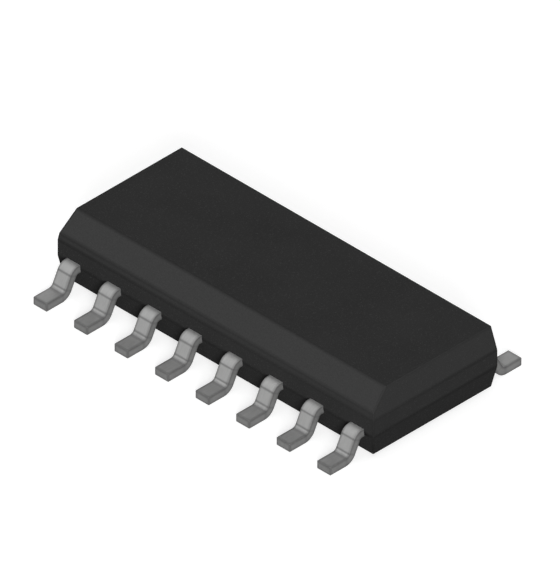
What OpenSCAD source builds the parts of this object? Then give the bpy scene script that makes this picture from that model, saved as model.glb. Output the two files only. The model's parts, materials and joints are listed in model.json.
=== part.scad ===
// Small-outline chip with sixteen gull-wing leads and a narrow moulded body.
//
// Millimetres. The origin is the centre of the lead footprint, on the seating plane. +X runs along
// the package and +Z is up. Leads 1 to 8 stand on the -Y side from -X to +X, below the long chamfer,
// and leads 9 to 16 come back along the +Y side. Levels are heights above the seating plane.
//
// The leads and the die pad are stamped from one flat sheet, the leadframe, and the body is moulded
// round them, so each cavity in the body is the very shape of the piece that fills it.

/* [Moulded body] */
// Length of the body at its upright band
body_length = 9.9; // [9.7:0.05:10.4]
// Width of the body at its upright band
body_width = 3.9; // [3.8:0.05:4.2]
// Height of the body from its underside to its top
body_height = 1.65; // [1.5:0.05:1.9]
// Gap between the seating plane and the underside of the body
standoff = 0.1; // [0.05:0.01:0.25]
// Height of the drafted wall below the upright band
lower_wall = 0.56; // [0.45:0.01:0.65]
// Height of the upright band
wall_band = 0.44; // [0.3:0.01:0.5]
// Draft of the wall below the band, in degrees
lower_draft = 10; // [5:0.5:12]
// Draft of the wall above the band, in degrees
upper_draft = 8.8; // [5:0.1:12]
// Run and drop of the 45 degree chamfer above leads 1 to 8
long_chamfer = 0.475; // [0.25:0.005:0.5]
// Diameter of the ejector pin marks in the underside
ejector_mark_d = 1; // [0.6:0.05:1.2]
// Depth of the ejector pin marks
ejector_mark_depth = 0.03; // [0.02:0.005:0.06]
// Distance between the centres of the two ejector pin marks
ejector_mark_spacing = 6.4; // [4:0.1:7.5]

/* [Leads outside the body] */
// Leads along each long side
leads_per_side = 8; // [7:1:8]
// Distance between the centres of neighbouring leads
lead_pitch = 1.27; // [1.2:0.01:1.3]
// Width of a lead outside the body
lead_width = 0.42; // [0.31:0.01:0.51]
// Span from toe to toe, across the package
lead_span = 6; // [5.8:0.05:6.3]
// Thickness of the leadframe sheet
sheet_thickness = 0.21; // [0.17:0.01:0.25]
// Rise of the leadframe's underside above the underside of the body
frame_rise = 0.435; // [0.4:0.005:0.5]
// Flat shoulder between the upright band and the first bend
shoulder_run = 0.04; // [0.02:0.01:0.12]
// Inside radius of the shoulder bend
shoulder_radius = 0.075; // [0.05:0.005:0.12]
// Slope of the leg below the level, in degrees
leg_slope = 63; // [50:1:75]
// Inside radius of the heel bend
heel_radius = 0.13; // [0.03:0.005:0.15]

/* [Lead fingers inside the body] */
// Width of the anchor that holds a lead in the mould
anchor_width = 0.72; // [0.6:0.02:0.78]
// Length of the anchor along the lead
anchor_length = 0.26; // [0.24:0.01:0.32]
// Moulding compound between the upright band and the anchor
anchor_cover = 0.14; // [0.1:0.01:0.16]
// Diameter of the lock hole through the anchor, filled by moulding compound
lock_hole_d = 0.18; // [0.12:0.01:0.2]
// Distance from the upright band to the finger's elbow
elbow_depth = 0.54; // [0.52:0.01:0.58]
// Width of a finger from its anchor to its tip
finger_width = 0.28; // [0.22:0.01:0.3]
// Clearance between a finger's tip and the die pad or the tie bar
finger_gap = 0.2; // [0.16:0.01:0.24]
// Leads in each corner whose fingers reach for the end of the die pad
corner_fingers = 2; // [2:1:2]
// Share of a lead's distance from the middle that its finger keeps beside the pad's long edge
finger_fan = 0.79; // [0.72:0.01:0.82]

/* [Die pad and die] */
// Length of the die pad
pad_length = 3.5; // [3.2:0.05:3.7]
// Width of the die pad
pad_width = 1.7; // [1.6:0.02:1.8]
// Drop of the die pad below the lead fingers
pad_downset = 0.15; // [0.1:0.01:0.2]
// Slope of the tie bar where it steps down to the pad, in degrees
downset_slope = 30; // [25:1:35]
// Inside radius of the tie bar's two bends
downset_radius = 0.05; // [0.03:0.005:0.1]
// Flat of the tie bar between the pad and its first bend
tie_bar_run = 0.05; // [0.02:0.01:0.2]
// Width of the tie bars that hold the pad by its ends
tie_bar_width = 0.3; // [0.2:0.01:0.34]
// Moulding compound between the upright band and a tie bar's end
tie_bar_cover = 0.15; // [0.1:0.01:0.3]
// Length of the die
die_length = 1.9; // [1.6:0.05:2.4]
// Width of the die
die_width = 1.2; // [1:0.05:1.4]
// Thickness of the die
die_thickness = 0.25; // [0.2:0.01:0.3]
// Thickness of the adhesive under the die
attach_thickness = 0.025; // [0.02:0.005:0.04]
// Height to which the adhesive climbs the sides of the die
attach_climb = 0.08; // [0.05:0.01:0.12]
// Width of the adhesive's foot beyond the die
attach_foot = 0.07; // [0.05:0.01:0.1]
// Width of the adhesive's lip where it ends on the die
attach_lip = 0.015; // [0.01:0.005:0.03]

/* [Bond wires] */
// Diameter of the bond wire
wire_d = 0.03; // [0.025:0.001:0.033]
// Diameter of the ball that welds the wire to the die
ball_d = 0.08; // [0.07:0.005:0.09]
// Height of the ball after it is pressed on
ball_height = 0.034; // [0.025:0.001:0.04]
// Rise of the wire's centre line above the die, at the top of its loop
loop_height = 0.17; // [0.15:0.01:0.25]
// Radius of the wire's centre line at the top of its loop
loop_radius = 0.06; // [0.05:0.005:0.08]
// Diameter of the stitch that ends the wire on the finger
stitch_d = 0.1; // [0.08:0.005:0.12]
// Height of the stitch
stitch_height = 0.034; // [0.034:0.002:0.04]
// Distance from the finger's tip to the middle of the stitch
stitch_setback = 0.12; // [0.1:0.01:0.15]
// Distance from the die's edge to the middle of a ball
ball_inset = 0.09; // [0.08:0.01:0.12]
// Share of a stitch's distance from the middle that its ball keeps along the die's edge
wire_fan = 0.42; // [0.35:0.01:0.5]

/* [Hidden] */
$fn = 48;
lead_count = 2 * leads_per_side;

// Flat sides of a bond wire, and straight steps of its bend
wire_sides = 8;
bend_steps = 4;

// Levels
body_bottom = standoff;
band_bottom = body_bottom + lower_wall;
band_top = band_bottom + wall_band;
body_top = body_bottom + body_height;
frame_bottom = body_bottom + frame_rise;
frame_top = frame_bottom + sheet_thickness;
pad_bottom = frame_bottom - pad_downset;
pad_top = pad_bottom + sheet_thickness;
die_bottom = pad_top + attach_thickness;
die_top = die_bottom + die_thickness;

// Walls of the body lean in by these amounts at its underside and at its top
lower_inset = lower_wall * tan(lower_draft);
upper_inset = (body_top - band_top) * tan(upper_draft);
chamfer_foot = body_top - long_chamfer;
chamfer_inset = max(chamfer_foot - band_top, 0) * tan(upper_draft);

// Distances from the long axis
band_y = body_width / 2;
elbow_y = band_y - elbow_depth;
anchor_y = band_y - anchor_cover - anchor_length / 2;

// Straight part of the leg that brings the foot down on the seating plane
leg_length = straight_between_bends(frame_bottom, shoulder_radius, heel_radius, leg_slope);
foot_start = band_y + shoulder_run + bend_reach(leg_length, shoulder_radius, heel_radius, leg_slope);
foot_length = lead_span / 2 - foot_start;

// Straight part of the tie bar between its two bends
step_length = straight_between_bends(pad_downset, downset_radius, downset_radius, downset_slope);
tie_start = pad_length / 2 + tie_bar_run;
tie_end = tie_start + bend_reach(step_length, downset_radius, downset_radius, downset_slope);
tie_length = body_length / 2 - tie_bar_cover - tie_end;

function numbered(name, n) = str(name, n < 10 ? "_0" : "_", n);

// Straight length between two opposite bends of the sheet that shift it sideways by a drop
function straight_between_bends(drop, radius_1, radius_2, angle) =
    (drop - (radius_1 + radius_2 + sheet_thickness) * (1 - cos(angle))) / sin(angle);

// Length along the sheet's first direction that two opposite bends and their straight part take up
function bend_reach(straight, radius_1, radius_2, angle) =
    (radius_1 + radius_2 + sheet_thickness) * sin(angle) + straight * cos(angle);

// A lead's place in its row, counted from +X on the +Y side, and its distance from the middle
function place_of(n) = (n - 1) % leads_per_side;
function lead_x(n) = ((leads_per_side - 1) / 2 - place_of(n)) * lead_pitch;

// How many leads stand between this one and the nearer end of its row
function from_corner(n) = min(place_of(n), leads_per_side - 1 - place_of(n));

function in_corner(n) = from_corner(n) < corner_fingers;

// Where a finger ends: beside the end of the pad in the corners, beside its long edge elsewhere
function finger_tip(n) = in_corner(n)
    ? [
        sign(lead_x(n)) * (pad_length / 2 + finger_gap),
        (tie_bar_width + finger_width) / 2 + finger_gap + from_corner(n) * (finger_width + finger_gap)
    ]
    : [lead_x(n) * finger_fan, pad_width / 2 + finger_gap];

// Direction of the edge that ends a finger, parallel to the edge of the pad that it faces
function tip_edge(n) = in_corner(n) ? [0, 1] : [1, 0];

function finger_elbow(n) = [lead_x(n), elbow_y];

// Both ends of a bond wire, in plan
function stitch_point(n) = let (back = finger_elbow(n) - finger_tip(n))
    finger_tip(n) + back / norm(back) * stitch_setback;
function ball_point(n) = let (
        stitch = stitch_point(n),
        row_x = die_length / 2 - ball_inset,
        row_y = die_width / 2 - ball_inset
    )
    in_corner(n)
        ? [sign(stitch[0]) * row_x, limited(stitch[1] * wire_fan, row_y)]
        : [limited(stitch[0] * wire_fan, row_x), row_y];
function limited(value, limit) = sign(value) * min(abs(value), limit);

// Corner of a mitred ribbon at point i of its path, half a width to the left of the path or, for a
// negative half, to its right. The last edge lies along end_edge.
function ribbon_corner(path, i, half, end_edge) = let (
        before = i > 0 ? unit(path[i] - path[i - 1]) : unit(path[1] - path[0]),
        after = i < len(path) - 1 ? unit(path[i + 1] - path[i]) : before,
        across = i < len(path) - 1 ? unit(left_of(before + after)) : end_edge
    )
    path[i] + half / (across * left_of(before)) * across;
function unit(v) = v / norm(v);
function left_of(v) = [-v[1], v[0]];

// A flat ribbon of one width along a path, mitred at its turns
module ribbon(path, width, end_edge) {
    last = len(path) - 1;
    left = [for (i = [0:last]) ribbon_corner(path, i, width / 2, end_edge)];
    right = [for (i = [last:-1:0]) ribbon_corner(path, i, -width / 2, end_edge)];
    polygon(concat(left, right));
}

// A strip of the sheet, bent as it runs along +X. Each step is [straight length, angle of the bend
// after it, inside radius of that bend]. A positive angle turns the strip up, a negative one down.
module bent_strip(steps, width, i = 0) {
    step = steps[i];
    up = step[1] > 0 ? 1 : -1;
    turn = abs(step[1]);
    pivot = up > 0 ? sheet_thickness + step[2] : -step[2];
    cube([step[0], sheet_thickness, width]);
    if (turn > 0)
        translate([step[0], pivot, 0]) {
            rotate([0, 0, up > 0 ? -90 : 90 - turn])
                rotate_extrude(angle = turn)
                    translate([step[2], 0])
                        square([sheet_thickness, width]);
            rotate([0, 0, step[1]])
                translate([0, -pivot, 0])
                    bent_strip(steps, width, i + 1);
        }
}

// Stands a strip's profile upright, so that it runs along +Y with its width centred on X = 0
module standing_along_y(width) {
    translate([-width / 2, 0, 0])
        rotate([90, 0, 90])
            children();
}

// Leads are drawn on the +Y side. Those of the first row are turned half round to the -Y side.
module in_its_row(n) {
    rotate([0, 0, n > leads_per_side ? 0 : 180])
        children();
}

// The gull wing: shoulder, leg and foot, one bent strip that starts in the middle of the anchor
module gull_wing() {
    shoulder = band_y + shoulder_run - anchor_y;
    translate([0, anchor_y, frame_bottom])
        standing_along_y(lead_width)
            bent_strip(
                [
                    [shoulder, -leg_slope, shoulder_radius],
                    [leg_length, leg_slope, heel_radius],
                    [foot_length, 0, 0]
                ],
                lead_width
            );
}

// The flat part inside the body: the anchor and the finger that fans in to the die pad
module finger(n) {
    translate([lead_x(n) - anchor_width / 2, anchor_y - anchor_length / 2, frame_bottom])
        cube([anchor_width, anchor_length, sheet_thickness]);
    translate([0, 0, frame_bottom])
        linear_extrude(sheet_thickness)
            ribbon([[lead_x(n), anchor_y], finger_elbow(n), finger_tip(n)], finger_width, tip_edge(n));
}

module lock_hole(n) {
    translate([lead_x(n), anchor_y, frame_bottom - sheet_thickness / 2])
        cylinder(h = 2 * sheet_thickness, d = lock_hole_d);
}

module lead(n) {
    color([0.55, 0.55, 0.55])
        in_its_row(n)
            difference() {
                union() {
                    translate([lead_x(n), 0, 0])
                        gull_wing();
                    finger(n);
                }
                lock_hole(n);
            }
}

// One tie bar: it leaves the pad's middle, steps up to the level of the leads and runs to the end
module tie_bar() {
    translate([0, tie_bar_width / 2, pad_bottom])
        rotate([90, 0, 0])
            bent_strip(
                [
                    [tie_start, downset_slope, downset_radius],
                    [step_length, -downset_slope, downset_radius],
                    [tie_length, 0, 0]
                ],
                tie_bar_width
            );
}

module die_pad() {
    color([0.72, 0.45, 0.3]) {
        translate([-pad_length / 2, -pad_width / 2, pad_bottom])
            cube([pad_length, pad_width, sheet_thickness]);
        tie_bar();
        rotate([0, 0, 180])
            tie_bar();
    }
}

// The block common to two prisms, one seen from the side of the package and one from its end
module crossed_profiles(length, width) {
    intersection() {
        translate([-length / 2, 0, 0])
            rotate([90, 0, 90])
                linear_extrude(length)
                    children(0);
        translate([0, width / 2, 0])
            rotate([90, 0, 0])
                linear_extrude(width)
                    children(1);
    }
}

module trapezium(foot, top, height) {
    polygon([[-foot / 2, 0], [foot / 2, 0], [top / 2, height], [-top / 2, height]]);
}

// The adhesive: a thin layer under the die with a fillet that climbs its four sides
module die_attach() {
    height = attach_thickness + attach_climb;
    foot = 2 * attach_foot;
    lip = 2 * attach_lip;
    color([0.75, 0.75, 0.72])
        difference() {
            translate([0, 0, pad_top])
                crossed_profiles(die_length + foot, die_width + foot) {
                    trapezium(die_width + foot, die_width + lip, height);
                    trapezium(die_length + foot, die_length + lip, height);
                }
            die();
        }
}

module die() {
    color([0.35, 0.37, 0.42])
        translate([-die_length / 2, -die_width / 2, die_bottom])
            cube([die_length, die_width, die_thickness]);
}

// A wire that runs along a path in the X-Z plane. A point of the path is [x, z, angle], where the angle
// is that of the wire's cross-section in this plane, from +X towards +Z.
module wire_along(path) {
    last = len(path) - 1;
    points = [
        for (p = path)
            for (i = [0:wire_sides - 1])
                let (across = wire_d / 2 * cos((i + 0.5) * 360 / wire_sides))
                [
                    p[0] + across * cos(p[2]),
                    wire_d / 2 * sin((i + 0.5) * 360 / wire_sides),
                    p[1] + across * sin(p[2])
                ]
    ];
    sides = [
        for (k = [0:last - 1])
            for (i = [0:wire_sides - 1])
                let (a = k * wire_sides + i, b = k * wire_sides + (i + 1) % wire_sides)
                [a, b, b + wire_sides, a + wire_sides]
    ];
    near_end = [for (i = [wire_sides - 1:-1:0]) i];
    far_end = [for (i = [0:wire_sides - 1]) last * wire_sides + i];
    polyhedron(points, concat([near_end, far_end], sides));
}

// A wire in its own plane, from a ball at the origin to a stitch at a reach and a drop from it. It
// climbs straight out of the ball, turns over in one bend and falls straight to the stitch.
module wire_loop(reach, drop) {
    bend_level = loop_height - loop_radius;
    weld_level = ball_height / 2;
    stitch_level = stitch_height / 2 - drop;
    to_bend = [reach - loop_radius, bend_level - stitch_level];
    fall = atan2(to_bend[1], to_bend[0]) + asin(loop_radius / norm(to_bend));
    bend = [
        for (i = [0:bend_steps])
            let (angle = 180 - (90 + fall) * i / bend_steps)
            [loop_radius * (1 + cos(angle)), bend_level + loop_radius * sin(angle), angle]
    ];
    wire_along(concat([[0, weld_level, 180]], bend, [[reach, stitch_level, 90 - fall]]));
    intersection() {
        translate([0, 0, weld_level])
            sphere(d = ball_d);
        cylinder(h = ball_height, d = ball_d);
    }
    translate([reach, 0, -drop])
        cylinder(h = stitch_height, d = stitch_d);
}

module bond_wire(n) {
    reach = stitch_point(n) - ball_point(n);
    color([0.93, 0.76, 0.36])
        in_its_row(n)
            translate([ball_point(n)[0], ball_point(n)[1], die_top])
                rotate([0, 0, atan2(reach[1], reach[0])])
                    wire_loop(norm(reach), die_top - frame_top);
}

// Section across the package, with the long chamfer on the -Y side
module side_profile() {
    chamfer_y = chamfer_inset - band_y;
    polygon([
        [lower_inset - band_y, body_bottom],
        [band_y - lower_inset, body_bottom],
        [band_y, band_bottom],
        [band_y, band_top],
        [band_y - upper_inset, body_top],
        [chamfer_y + long_chamfer, body_top],
        [chamfer_y, chamfer_foot],
        [-band_y, band_top],
        [-band_y, band_bottom]
    ]);
}

// Section along the package
module end_profile() {
    band_x = body_length / 2;
    polygon([
        [lower_inset - band_x, body_bottom],
        [band_x - lower_inset, body_bottom],
        [band_x, band_bottom],
        [band_x, band_top],
        [band_x - upper_inset, body_top],
        [upper_inset - band_x, body_top],
        [-band_x, band_top],
        [-band_x, band_bottom]
    ]);
}

// Shallow round marks left in the underside by the pins that push the package out of its mould
module ejector_marks() {
    for (side = [-1, 1])
        translate([side * ejector_mark_spacing / 2, 0, body_bottom - ejector_mark_depth])
            cylinder(h = 2 * ejector_mark_depth, d = ejector_mark_d);
}

// The moulding compound fills all the room between its own walls and the pieces that it encloses
module body() {
    color([0.19, 0.19, 0.19])
        difference() {
            crossed_profiles(body_length, body_width) {
                side_profile();
                end_profile();
            }
            ejector_marks();
            die_pad();
            die_attach();
            die();
            for (n = [1:lead_count])
                lead(n);
            for (n = [1:lead_count])
                bond_wire(n);
        }
}

body();
die_pad();
die_attach();
die();
for (n = [1:lead_count]) {
    lead(n);
    bond_wire(n);
}
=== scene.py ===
"""Looks of a sixteen-lead small-outline chip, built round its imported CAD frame. Metres, row frame."""

import json
import math

import bmesh
import bpy
from mathutils import Matrix, Vector
from mathutils.geometry import intersect_point_line


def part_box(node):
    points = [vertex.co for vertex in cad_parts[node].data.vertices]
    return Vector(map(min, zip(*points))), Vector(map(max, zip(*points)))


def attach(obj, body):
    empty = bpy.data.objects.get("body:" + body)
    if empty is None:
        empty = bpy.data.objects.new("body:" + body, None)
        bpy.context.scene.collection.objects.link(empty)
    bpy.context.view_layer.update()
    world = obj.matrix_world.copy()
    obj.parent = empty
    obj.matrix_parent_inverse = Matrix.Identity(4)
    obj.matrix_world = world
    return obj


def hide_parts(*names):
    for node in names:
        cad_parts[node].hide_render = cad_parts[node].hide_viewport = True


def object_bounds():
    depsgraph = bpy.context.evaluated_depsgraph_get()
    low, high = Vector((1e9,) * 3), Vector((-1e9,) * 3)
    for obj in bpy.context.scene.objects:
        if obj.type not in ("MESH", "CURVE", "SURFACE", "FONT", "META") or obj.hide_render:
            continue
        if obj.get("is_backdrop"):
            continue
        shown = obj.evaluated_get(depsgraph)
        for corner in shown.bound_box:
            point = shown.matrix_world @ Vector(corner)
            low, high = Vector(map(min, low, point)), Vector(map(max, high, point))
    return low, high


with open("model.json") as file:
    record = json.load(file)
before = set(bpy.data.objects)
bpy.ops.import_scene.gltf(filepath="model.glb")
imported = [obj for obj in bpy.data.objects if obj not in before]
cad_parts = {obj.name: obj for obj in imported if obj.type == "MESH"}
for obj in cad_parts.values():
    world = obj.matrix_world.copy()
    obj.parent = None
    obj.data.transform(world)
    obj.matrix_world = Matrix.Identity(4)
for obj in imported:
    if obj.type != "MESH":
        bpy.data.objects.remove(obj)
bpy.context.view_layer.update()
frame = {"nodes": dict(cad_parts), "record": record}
scene = bpy.context.scene
MM = 0.001

# Sizes in millimetres that the CAD's boxes don't give, as its source has them
SHEET = 0.21
WIDTH = 0.42
BAND_Y = 1.95
SHOULDER_RUN = 0.04
SHOULDER_RADIUS = 0.075
HEEL_RADIUS = 0.13
LEG_SLOPE = 63.0
MARK_RADIUS = 0.5
MARK_DEPTH = 0.03
MARK_X = 3.2
# and those that its boxes give
FRAME_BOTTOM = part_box("lead_01")[1].z / MM - SHEET
TOE_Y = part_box("lead_09")[1].y / MM

# A lead's leg: its slope, the radii of both bends' middle lines together, its straight length, where its
# middle line starts, and where the foot begins
SLOPE = math.radians(LEG_SLOPE)
BENDS = SHOULDER_RADIUS + HEEL_RADIUS + SHEET
LEG = (FRAME_BOTTOM - BENDS * (1 - math.cos(SLOPE))) / math.sin(SLOPE)
LEG_Y = BAND_Y + SHOULDER_RUN + (SHOULDER_RADIUS + SHEET / 2) * math.sin(SLOPE)
LEG_Z = FRAME_BOTTOM + SHEET / 2 - (SHOULDER_RADIUS + SHEET / 2) * (1 - math.cos(SLOPE))
FOOT_Y = BAND_Y + SHOULDER_RUN + BENDS * math.sin(SLOPE) + LEG * math.cos(SLOPE)

# Finer than the CAD: the body's rounded edges, the leads' rounded corners and smooth bends, and the sides
# of the round ejector marks
EDGE_RADIUS = 0.018
EDGE_STEPS = 4
CORNER = 0.015
CORNER_STEPS = 3
BEND_STEPS = 16
MARK_SIDES = 64
# In degrees: faces that turn by less than FLAT are one, and edges that turn by more than SHARP look sharp
FLAT = 1
SHARP = 35
# How far the gull wing made here reaches into the body, and the gap that joins it to the CAD's finger
EMBEDDED = 0.12
JOIN = 0.005
# Points nearer to each other than this are one
WELD = 0.0001

# Width of the darker skin along the edges, and how much darker it is on the body and on the leads
EDGE_SKIN = 0.07
BODY_EDGE = 0.22
LEAD_EDGE = 0.4
# Half the width of the dull line that forming leaves where a bend begins or ends
FORMING_LINE = 0.04
# The foot's line lies this far back in the heel. Distances to it count by this share, so it is wider
FOOT_LINE_BACK = 0.03
FOOT_LINE_SHARE = 0.55
# How much less blue than grey tin is
TIN_WARM = 0.002


# ---------------------------------------------------------------- helpers


def srgb(r, g, b):
    """A colour as it looks, 0 to 1, as the shader's linear colour."""
    return tuple(c / 12.92 if c <= 0.04045 else ((c + 0.055) / 1.055) ** 2.4 for c in (r, g, b)) + (1.0,)


def grey(level, warm=0.0):
    """A grey as it looks, 0 to 1, which has less blue where it is warm."""
    return srgb(level, level, level - warm)


def link_mesh(name, bm):
    mesh = bpy.data.meshes.new(name)
    bm.normal_update()
    bm.to_mesh(mesh)
    bm.free()
    obj = bpy.data.objects.new(name, mesh)
    scene.collection.objects.link(obj)
    return obj


def apply_modifier(obj, name, kind, **settings):
    """Adds a modifier to an object and puts its result in the object's mesh."""
    modifier = obj.modifiers.new(name, kind)
    for key, value in settings.items():
        setattr(modifier, key, value)
    bpy.context.view_layer.update()
    mesh = bpy.data.meshes.new_from_object(obj.evaluated_get(bpy.context.evaluated_depsgraph_get()))
    obj.modifiers.clear()
    obj.data = mesh


def finish_mesh(obj):
    """Brings a mesh made in millimetres to metres, with smooth shading on its rounded edges and flat
    shading on its flats."""
    obj.data.transform(Matrix.Scale(MM, 4))
    for p in obj.data.polygons:
        p.use_smooth = True
    obj.data.set_sharp_from_angle(angle=math.radians(SHARP))
    apply_modifier(obj, "flats", "WEIGHTED_NORMAL", mode="FACE_AREA", weight=100, keep_sharp=True)


def paint(obj, material):
    obj.data.materials.clear()
    obj.data.materials.append(material)
    for p in obj.data.polygons:
        p.material_index = 0


class Nodes:
    """A short way to write a material's node tree."""

    def __init__(self, name):
        self.material = bpy.data.materials.new(name)
        self.material.use_nodes = True
        self.tree = self.material.node_tree
        self.tree.nodes.clear()
        self.out = self.add("ShaderNodeOutputMaterial")
        self.shader = self.add("ShaderNodeBsdfPrincipled")
        self.tree.links.new(self.shader.outputs["BSDF"], self.out.inputs["Surface"])
        self.coords = self.add("ShaderNodeTexCoord")
        self.place = self.coords.outputs["Object"]

    def add(self, kind, **settings):
        node = self.tree.nodes.new(kind)
        for key, value in settings.items():
            setattr(node, key, value)
        return node

    def join(self, a, b):
        self.tree.links.new(a, b)

    def noise(self, size_mm, detail=3.0, rough=0.55, stretch=None):
        """Noise with features of about size_mm, longer along the axes that stretch scales down."""
        place = self.place
        if stretch:
            mapping = self.add("ShaderNodeMapping")
            mapping.inputs["Scale"].default_value = stretch
            self.join(place, mapping.inputs["Vector"])
            place = mapping.outputs["Vector"]
        node = self.add("ShaderNodeTexNoise")
        node.inputs["Scale"].default_value = 1.0 / (size_mm * MM)
        node.inputs["Detail"].default_value = detail
        node.inputs["Roughness"].default_value = rough
        self.join(place, node.inputs["Vector"])
        return node.outputs["Fac"]

    def ramp(self, fac, low, high, a, b):
        """Maps fac from low..high to colours a..b."""
        node = self.add("ShaderNodeValToRGB")
        node.color_ramp.elements[0].position = low
        node.color_ramp.elements[0].color = a
        node.color_ramp.elements[1].position = high
        node.color_ramp.elements[1].color = b
        self.join(fac, node.inputs["Fac"])
        return node.outputs["Color"]

    def span(self, fac, low, high):
        """Maps fac from 0..1 to low..high."""
        node = self.add("ShaderNodeMapRange")
        node.inputs["To Min"].default_value = low
        node.inputs["To Max"].default_value = high
        self.join(fac, node.inputs["Value"])
        return node.outputs["Result"]

    def mix(self, fac, a, b):
        """Colour a where fac is 0 and b where it is 1, by the node's inputs 6 and 7 and its output 2."""
        node = self.add("ShaderNodeMix", data_type="RGBA")
        self.join(fac, node.inputs["Factor"])
        for value, socket in ((a, node.inputs[6]), (b, node.inputs[7])):
            if isinstance(value, tuple):
                socket.default_value = value
            else:
                self.join(value, socket)
        return node.outputs[2]

    def bump(self, height, strength, distance_mm):
        node = self.add("ShaderNodeBump")
        node.inputs["Strength"].default_value = strength
        node.inputs["Distance"].default_value = distance_mm * MM
        self.join(height, node.inputs["Height"])
        return node.outputs["Normal"]

    def math(self, operation, a, b=None):
        node = self.add("ShaderNodeMath", operation=operation)
        for value, socket in zip((a, b), node.inputs):
            if isinstance(value, (int, float)):
                socket.default_value = value
            elif value is not None:
                self.join(value, socket)
        return node.outputs[0]

    def axes(self, socket):
        """The X, Y and Z of a vector."""
        node = self.add("ShaderNodeSeparateXYZ")
        self.join(socket, node.inputs[0])
        return node.outputs

    def near(self, distance, reach):
        """1 at no distance, falling to 0 at reach."""
        return self.math("MAXIMUM", self.math("SUBTRACT", 1.0, self.math("DIVIDE", distance, reach)), 0.0)

    def lean(self):
        """1 where the surface leans back at 45 degrees, -1 where it hangs over as much, and 0 where it is
        upright or level."""
        z = self.axes(self.coords.outputs["Normal"])["Z"]
        across = self.math("SQRT", self.math("SUBTRACT", 1.0, self.math("MULTIPLY", z, z)))
        return self.math("MULTIPLY", self.math("MULTIPLY", z, 2.0), across)

    def edges(self, colour, share):
        """The colour, darker by a share along the edges that the mesh marks."""
        edge = self.add("ShaderNodeAttribute", attribute_name="edge").outputs["Fac"]
        return self.mix(self.math("MULTIPLY", edge, share), colour, (0.0, 0.0, 0.0, 1.0))

    def set(self, **values):
        for key, value in values.items():
            socket = self.shader.inputs[key.replace("_", " ")]
            if isinstance(value, (int, float, tuple)):
                socket.default_value = value
            else:
                self.join(value, socket)


# ---------------------------------------------------------------- materials


def moulding_compound():
    """Black filled epoxy, matt: the mould's fine spark-eroded grain, specks of filler and faint clouds.
    Slants that lean back have painted light that makes them paler, those that hang over have painted shade
    that makes them darker, and the edges are darker too."""
    n = Nodes("moulding_compound")
    grain = n.noise(0.035, detail=4.0, rough=0.6)
    cloud = n.noise(1.6, detail=2.0)
    flecks = n.ramp(n.noise(0.02, detail=2.0), 0.6, 0.7, (0, 0, 0, 1), (1, 1, 1, 1))
    black = n.ramp(cloud, 0.3, 0.7, grey(0.174), grey(0.186))
    # Painted light: a paler copy of the compound for faces and rounded edges that lean back
    slant_lit_colour = n.ramp(grain, 0.35, 0.65, grey(0.214), grey(0.23))
    lean = n.lean()
    slant_light_mask = n.math("POWER", n.math("MAXIMUM", lean, 0.0), 0.7)
    # Painted shade: faces that hang over are painted darker
    overhang_shade_mask = n.math("MAXIMUM", n.math("MULTIPLY", lean, -1.0), 0.0)
    colour = n.mix(overhang_shade_mask, n.mix(slant_light_mask, black, slant_lit_colour), grey(0.13))
    colour = n.mix(flecks, colour, grey(0.25))
    # Next to no shine, which would show the white all round
    n.set(
        Base_Color=n.edges(colour, BODY_EDGE),
        Roughness=n.span(grain, 0.55, 0.8),
        Specular_IOR_Level=0.005,
        Normal=n.bump(grain, 0.3, 0.006),
    )
    return n.material


def to_forming_lines(n, y, z):
    """Distance in millimetres to the nearest line across a lead where a bend begins or ends."""
    out = n.math("MULTIPLY", n.math("SUBTRACT", y, LEG_Y), math.cos(SLOPE))
    down = n.math("MULTIPLY", n.math("SUBTRACT", z, LEG_Z), -math.sin(SLOPE))
    along = n.math("ADD", out, down)
    to_shoulder = n.math("ABSOLUTE", along)
    to_heel = n.math("ABSOLUTE", n.math("SUBTRACT", along, LEG))
    from_foot = n.math("ABSOLUTE", n.math("SUBTRACT", y, FOOT_Y - FOOT_LINE_BACK))
    to_foot = n.math("MULTIPLY", from_foot, FOOT_LINE_SHARE)
    return n.math("MINIMUM", n.math("MINIMUM", to_shoulder, to_heel), to_foot)


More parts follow.
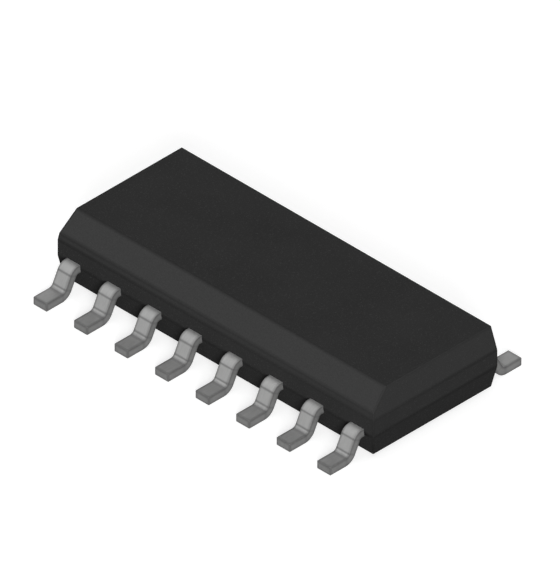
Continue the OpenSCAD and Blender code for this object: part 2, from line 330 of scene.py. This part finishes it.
def tinned():
    """Matt tin plate: satin grey with the faint grain of the rolled sheet and soft cloudy spots. Upright
    faces, the sheared sides among them, have painted shade that makes them a little darker. Both faces of
    the sheet have painted light, paler where they slant at the bends, with a dull line where each bend
    begins or ends."""
    n = Nodes("tinned_lead")
    rolled = n.noise(0.03, detail=3.0, stretch=(1.0, 0.12, 0.12))
    cloud = n.noise(0.35, detail=3.0)
    place = n.axes(n.place)
    y = n.math("DIVIDE", n.math("ABSOLUTE", place["Y"]), MM)
    z = n.math("DIVIDE", place["Z"], MM)

    facing = n.axes(n.coords.outputs["Normal"])
    level = n.math("MULTIPLY", facing["Z"], facing["Z"])
    sideways = n.math("MULTIPLY", facing["X"], facing["X"])
    sheet_face = n.math("POWER", n.math("SUBTRACT", 1.0, sideways), 2.0)
    # Painted light: faces of the sheet that slant at the bends, before the foot, are painted paler
    slant_light_share = n.math("SQRT", n.math("ABSOLUTE", n.lean()))
    bend_light_mask = n.math("MULTIPLY", n.math("MULTIPLY", slant_light_share, sheet_face), n.math("LESS_THAN", y, FOOT_Y))

    mottled = n.math("MULTIPLY", n.math("ADD", cloud, rolled), 0.5)
    # Painted shade: a darker copy of the tin for upright faces, the sheared sides and the toe among them
    upright_shade_tin = n.ramp(mottled, 0.35, 0.65, grey(0.44, TIN_WARM), grey(0.485, TIN_WARM))
    rolled_tin = n.ramp(mottled, 0.35, 0.65, grey(0.49, TIN_WARM), grey(0.535, TIN_WARM))
    # Painted light: paler copies of the tin for slanting faces, palest where they lean nearest to level
    steep_lit_tin = n.ramp(rolled, 0.3, 0.7, grey(0.555, TIN_WARM), grey(0.585, TIN_WARM))
    shallow_lit_tin = n.ramp(rolled, 0.3, 0.7, grey(0.63, TIN_WARM), grey(0.66, TIN_WARM))
    colour = n.mix(bend_light_mask, n.mix(level, upright_shade_tin, rolled_tin), n.mix(level, steep_lit_tin, shallow_lit_tin))
    reach = n.span(cloud, 0.4 * FORMING_LINE, 1.6 * FORMING_LINE)
    colour = n.mix(n.near(to_forming_lines(n, y, z), reach), colour, grey(0.42))
    n.set(
        Base_Color=n.edges(colour, LEAD_EDGE),
        Metallic=0.1,
        Specular_IOR_Level=0.15,
        Roughness=n.span(rolled, 0.38, 0.58),
        Normal=n.bump(rolled, 0.3, 0.003),
    )
    return n.material


def plain(name, low, high, metallic, rough, size_mm):
    """A material for a piece sealed inside the body."""
    n = Nodes(name)
    fac = n.noise(size_mm)
    n.set(
        Base_Color=n.ramp(fac, 0.3, 0.7, srgb(*low), srgb(*high)),
        Metallic=metallic,
        Roughness=n.span(fac, rough - 0.06, rough + 0.06),
        Normal=n.bump(fac, 0.1, size_mm * 0.05),
    )
    return n.material


# Sealed pieces: their colour from and to, how metallic and how rough they are, and the size of their clouds
SEALED = {
    "copper_alloy": ((0.70, 0.44, 0.30), (0.76, 0.50, 0.35), 1.0, 0.35, 0.2),
    "silver_adhesive": ((0.70, 0.70, 0.68), (0.76, 0.76, 0.73), 0.2, 0.55, 0.05),
    "silicon": ((0.33, 0.35, 0.40), (0.37, 0.39, 0.44), 0.6, 0.2, 0.3),
    "gold_wire": ((0.92, 0.74, 0.34), (0.95, 0.79, 0.42), 1.0, 0.25, 0.1),
}
MATERIALS = {"moulding_compound": moulding_compound(), "tinned_lead": tinned()}
for name, looks in SEALED.items():
    MATERIALS[name] = plain(name, *looks)
for part in frame["record"]["subparts"]:
    paint(frame["nodes"][part["node"]], MATERIALS[part["material_slot"]])


# ---------------------------------------------------------------- leads


def bent_path(steps, turn_steps):
    """Centre line of a bent strip in its own plane, from (0, 0) along +X: [(point, normal)]. Each step is
    a straight length, the degrees that the strip then turns by, and the inside radius of that bend."""
    at, angle, out = Vector((0.0, 0.0)), 0.0, []
    half = SHEET / 2

    def note():
        out.append((at.copy(), Vector((-math.sin(angle), math.cos(angle)))))

    note()
    for straight, turn, radius in steps:
        at = at + straight * Vector((math.cos(angle), math.sin(angle)))
        note()
        if turn:
            side = math.copysign(1.0, turn)
            start = angle
            centre = at + side * (radius + half) * Vector((-math.sin(angle), math.cos(angle)))
            for i in range(1, turn_steps + 1):
                angle = start + math.radians(turn) * i / turn_steps
                at = centre - side * (radius + half) * Vector((-math.sin(angle), math.cos(angle)))
                note()
    return out


def strip_section():
    """Points round a strip's section, with its corners rounded: [(across its width, across its sheet,
    1 on a rounded corner and 0 where the flat of a face begins)]."""
    wide, thick = WIDTH / 2, SHEET / 2
    points = []
    for sx, sy, start in ((1, 1, 0), (-1, 1, 90), (-1, -1, 180), (1, -1, 270)):
        corner = []
        for i in range(CORNER_STEPS + 1):
            a = math.radians(start + 90 * i / CORNER_STEPS)
            across = sx * (wide - CORNER) + CORNER * math.cos(a)
            corner.append((across, sy * (thick - CORNER) + CORNER * math.sin(a), 1.0))
        flats = [(sx * wide, sy * (thick - EDGE_SKIN), 0.0), (sx * (wide - EDGE_SKIN), sy * thick, 0.0)]
        if sx * sy < 0:
            flats.reverse()
        points += [flats[0], *corner, flats[1]]
    return points


def finger_loop(bm, node, side):
    """Adds the CAD lead's inner end, from its tip to the gull wing's start, and gives its open loop."""
    bm.from_mesh(frame["nodes"][node].data)
    bmesh.ops.scale(bm, verts=bm.verts, vec=(1 / MM,) * 3)
    bmesh.ops.remove_doubles(bm, verts=bm.verts, dist=WELD)
    cut = bmesh.ops.bisect_plane(
        bm,
        geom=list(bm.verts) + list(bm.edges) + list(bm.faces),
        plane_co=(0, side * (BAND_Y - EMBEDDED - JOIN), 0),
        plane_no=(0, side, 0),
        clear_outer=True,
    )
    return [e for e in cut["geom_cut"] if isinstance(e, bmesh.types.BMEdge)]


def whole_lead(name, node, x, side):
    """One lead: the CAD's finger inside the body, and a gull wing with smooth bends and rounded edges."""
    start = BAND_Y - EMBEDDED
    path = bent_path(
        [
            (EMBEDDED + SHOULDER_RUN, -LEG_SLOPE, SHOULDER_RADIUS),
            (LEG, LEG_SLOPE, HEEL_RADIUS),
            (TOE_Y - FOOT_Y - EDGE_SKIN, 0, 0),
        ],
        BEND_STEPS,
    )
    section = strip_section()
    bm = bmesh.new()
    edge = bm.verts.layers.float.new("edge")
    loop = finger_loop(bm, node, side)
    rings = []

    def ring(at, normal, inset=0.0, least=0.0, most=1.0):
        """A ring of points round the strip, whose marks are kept between least and most."""
        out = []
        for w, t, mark in section:
            w = math.copysign(max(abs(w) - inset, 0), w)
            t = math.copysign(max(abs(t) - inset, 0), t)
            p = at + normal * t
            v = bm.verts.new((x + w, side * (start + p.x), FRAME_BOTTOM + SHEET / 2 + p.y))
            v[edge] = min(max(mark, least), most)
            out.append(v)
        rings.append(out)

    for at, normal in path:
        ring(at, normal)
    at, normal = path[-1]
    for i in range(CORNER_STEPS + 1):
        a = math.radians(90 * i / CORNER_STEPS)
        out = Vector((EDGE_SKIN - CORNER + CORNER * math.sin(a), 0))
        ring(at + out, normal, CORNER * (1 - math.cos(a)), least=1.0)
    ring(at + Vector((EDGE_SKIN, 0)), normal, EDGE_SKIN, most=0.0)
    n = len(section)
    for a, b in zip(rings, rings[1:]):
        for i in range(n):
            j = (i + 1) % n
            bm.faces.new((a[i], a[j], b[j], b[i]))
    bm.faces.new(rings[-1])
    start_edges = [bm.edges.get((rings[0][i], rings[0][(i + 1) % n])) for i in range(n)]
    bmesh.ops.bridge_loops(bm, edges=loop + start_edges)
    bmesh.ops.remove_doubles(bm, verts=bm.verts, dist=WELD)
    bmesh.ops.recalc_face_normals(bm, faces=bm.faces)
    obj = link_mesh(name, bm)
    finish_mesh(obj)
    return obj


def leads():
    made = []
    for m in frame["record"]["mounts"]:
        if not m["name"].startswith("foot_"):
            continue
        node = "lead_" + m["name"][-2:]
        x, y, _ = m["pos_m"]
        obj = whole_lead("gull_wing_" + m["name"][-2:], node, x / MM, math.copysign(1.0, y))
        paint(obj, MATERIALS["tinned_lead"])
        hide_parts(node)
        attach(obj, "root")
        made.append(obj)
    return made


# ---------------------------------------------------------------- moulded body


def cut_away(obj, tool):
    """Takes the tool's solid out of the object's, and deletes the tool."""
    apply_modifier(obj, "cut", "BOOLEAN", operation="DIFFERENCE", object=tool, solver="EXACT")
    bpy.data.objects.remove(tool)


def weld(obj):
    """Takes out the needle-thin leftovers of the cuts."""
    bm = bmesh.new()
    bm.from_mesh(obj.data)
    bmesh.ops.remove_doubles(bm, verts=bm.verts, dist=WELD)
    bmesh.ops.dissolve_degenerate(bm, edges=bm.edges, dist=WELD)
    bm.to_mesh(obj.data)
    bm.free()


def in_millimetres(sources):
    """One tool with the meshes of all the sources, scaled up from metres and without their edge marks."""
    bm = bmesh.new()
    for source in sources:
        bm.from_mesh(source.data)
    for layer in bm.verts.layers.float.values():
        bm.verts.layers.float.remove(layer)
    bmesh.ops.scale(bm, verts=bm.verts, vec=(1 / MM,) * 3)
    bmesh.ops.remove_doubles(bm, verts=bm.verts, dist=WELD)
    return link_mesh("cutter", bm)


def outer_walls():
    """The body without its cavities, with the small radii that the mould leaves on its edges. Gives it
    with its edges before they are rounded, as pairs of points. A ring of faces follows each edge."""
    bm = bmesh.new()
    for v in frame["nodes"]["body"].data.vertices:
        bm.verts.new(v.co / MM)
    hull = bmesh.ops.convex_hull(bm, input=bm.verts)
    spare = {v for v in hull["geom_interior"] + hull["geom_unused"] if isinstance(v, bmesh.types.BMVert)}
    bmesh.ops.delete(bm, geom=list(spare), context="VERTS")
    bmesh.ops.dissolve_limit(bm, angle_limit=math.radians(FLAT), verts=bm.verts, edges=bm.edges)
    bmesh.ops.recalc_face_normals(bm, faces=bm.faces)
    corners, edges = list(bm.verts), list(bm.edges)
    lines = [(e.verts[0].co.copy(), e.verts[1].co.copy()) for e in edges]
    bmesh.ops.inset_individual(bm, faces=bm.faces, thickness=EDGE_SKIN, use_even_offset=True)
    bmesh.ops.bevel(
        bm, geom=edges + corners, offset=EDGE_RADIUS, segments=EDGE_STEPS, profile=0.5, affect="EDGES"
    )
    return link_mesh("moulded_body", bm), lines


def mark_edges(obj, lines):
    """Says for each point how near it is to an edge: 1 on the rounded edge, falling to 0 at EDGE_SKIN."""
    marks = obj.data.attributes.new("edge", "FLOAT", "POINT").data
    for v, mark in zip(obj.data.vertices, marks):
        distances = []
        for start, end in lines:
            share = intersect_point_line(v.co, start, end)[1]
            distances.append((v.co - start.lerp(end, min(max(share, 0.0), 1.0))).length)
        mark.value = min(max((EDGE_SKIN - min(distances)) / (EDGE_SKIN - EDGE_RADIUS), 0.0), 1.0)


def ejector_marks():
    bm = bmesh.new()
    for side in (-1, 1):
        ring = bmesh.ops.create_cone(
            bm,
            cap_ends=True,
            segments=MARK_SIDES,
            radius1=MARK_RADIUS,
            radius2=MARK_RADIUS,
            depth=2 * MARK_DEPTH,
        )
        bmesh.ops.translate(bm, verts=ring["verts"], vec=(side * MARK_X, 0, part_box("body")[0].z / MM))
    return link_mesh("cutter", bm)


def moulded_body(lead_objects):
    """The moulding compound, moulded round the leads and all that the body holds. It is made in
    millimetres, because bmesh rounds very small sizes, and brought to metres at the end."""
    body, lines = outer_walls()
    cut_away(body, ejector_marks())
    cut_away(body, in_millimetres(lead_objects))
    nodes = frame["nodes"]
    wires = [nodes[name] for name in nodes if name.startswith("bond_wire")]
    for held in (wires, [nodes["die_pad"]], [nodes["die_attach"]], [nodes["die"]]):
        cut_away(body, in_millimetres(held))
    weld(body)
    mark_edges(body, lines)
    finish_mesh(body)
    paint(body, MATERIALS["moulding_compound"])
    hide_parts("body")
    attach(body, "root")


moulded_body(leads())


# ---------------------------------------------------------------- camera, light and floor

# In millimetres: what the picture shows along its longer side, and how far the camera is from its target
PICTURE = 12.5415
CAMERA_DISTANCE = 60
target = Vector((0.043, 0.0355, 1.411)) * MM
back = Vector((1, -1, 1)).normalized()
camera_data = bpy.data.cameras.new("camera")
camera_data.type = "ORTHO"
camera_data.ortho_scale = PICTURE * MM
camera_data.clip_start = 0.001
camera_data.clip_end = 1.0
camera = bpy.data.objects.new("camera", camera_data)
scene.collection.objects.link(camera)
camera.location = target + back * CAMERA_DISTANCE * MM
camera.rotation_mode = "QUATERNION"
camera.rotation_quaternion = (-back).to_track_quat("-Z", "Y")
scene.camera = camera
scene.view_settings.view_transform = "Standard"

# How bright the three lamps and the light from all round are
KEY = 1.15
OVERHEAD = 0.28
FILL = 0.7
AMBIENT = 0.12
# Half the floor's side and its gap under the feet, in metres, and how strongly it glows in the picture
FLOOR_HALF = 0.3
FLOOR_GAP = 0.000002
FLOOR_GLOW = 0.65


def light_path_mix(tree, seen, lighting, out):
    """Rays from the camera, and those that metal and glass send on, meet seen. All others meet lighting."""
    path = tree.nodes.new("ShaderNodeLightPath")
    sees = path.outputs["Is Camera Ray"]
    for kind in ("Is Glossy Ray", "Is Transmission Ray"):
        either = tree.nodes.new("ShaderNodeMath")
        either.operation = "MAXIMUM"
        tree.links.new(sees, either.inputs[0])
        tree.links.new(path.outputs[kind], either.inputs[1])
        sees = either.outputs[0]
    mix = tree.nodes.new("ShaderNodeMixShader")
    tree.links.new(sees, mix.inputs[0])
    tree.links.new(lighting, mix.inputs[1])
    tree.links.new(seen, mix.inputs[2])
    tree.links.new(mix.outputs[0], out)


def studio():
    world = bpy.data.worlds.new("world")
    scene.world = world
    world.use_nodes = True
    tree = world.node_tree
    tree.nodes.clear()
    out = tree.nodes.new("ShaderNodeOutputWorld")
    shades = []
    for strength in (1.0, AMBIENT):
        node = tree.nodes.new("ShaderNodeBackground")
        node.inputs["Color"].default_value = (1, 1, 1, 1)
        node.inputs["Strength"].default_value = strength
        shades.append(node.outputs["Background"])
    light_path_mix(tree, shades[0], shades[1], out.inputs["Surface"])


def soft_sun(name, direction, level, spread, shine=True):
    """A broad lamp far away. A white surface that faces it renders at level. Without shine, it isn't
    mirrored in anything."""
    data = bpy.data.lights.new(name, "SUN")
    data.energy = math.pi * level
    data.angle = math.radians(spread)
    obj = bpy.data.objects.new(name, data)
    scene.collection.objects.link(obj)
    obj.rotation_mode = "QUATERNION"
    obj.rotation_quaternion = (-Vector(direction).normalized()).to_track_quat("-Z", "Y")
    obj.visible_glossy = shine


def floor():
    """A dark floor for the light, so that it throws none back up, which the camera sees as white paper
    with a faint shadow."""
    bm = bmesh.new()
    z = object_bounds()[0].z - FLOOR_GAP
    sides = ((-1, -1), (1, -1), (1, 1), (-1, 1))
    bm.faces.new([bm.verts.new((x * FLOOR_HALF, y * FLOOR_HALF, z)) for x, y in sides])
    obj = link_mesh("floor", bm)
    n = Nodes("floor")
    n.set(Base_Color=(0.08, 0.08, 0.08, 1), Roughness=0.9, Specular_IOR_Level=0.0)
    paper = n.add("ShaderNodeBsdfDiffuse")
    paper.inputs["Color"].default_value = (0.55, 0.55, 0.55, 1)
    glow = n.add("ShaderNodeEmission")
    glow.inputs["Strength"].default_value = FLOOR_GLOW
    seen = n.add("ShaderNodeAddShader")
    n.join(paper.outputs[0], seen.inputs[0])
    n.join(glow.outputs[0], seen.inputs[1])
    light_path_mix(n.tree, seen.outputs[0], n.shader.outputs[0], n.out.inputs["Surface"])
    paint(obj, n.material)
    obj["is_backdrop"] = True


studio()
soft_sun("key", (1.0, -1.0, 0.5), KEY, 25)
soft_sun("overhead", (0.0, 0.0, 1.0), OVERHEAD, 60)
soft_sun("fill", (-1.0, 1.0, 0.3), FILL, 40, shine=False)
floor()
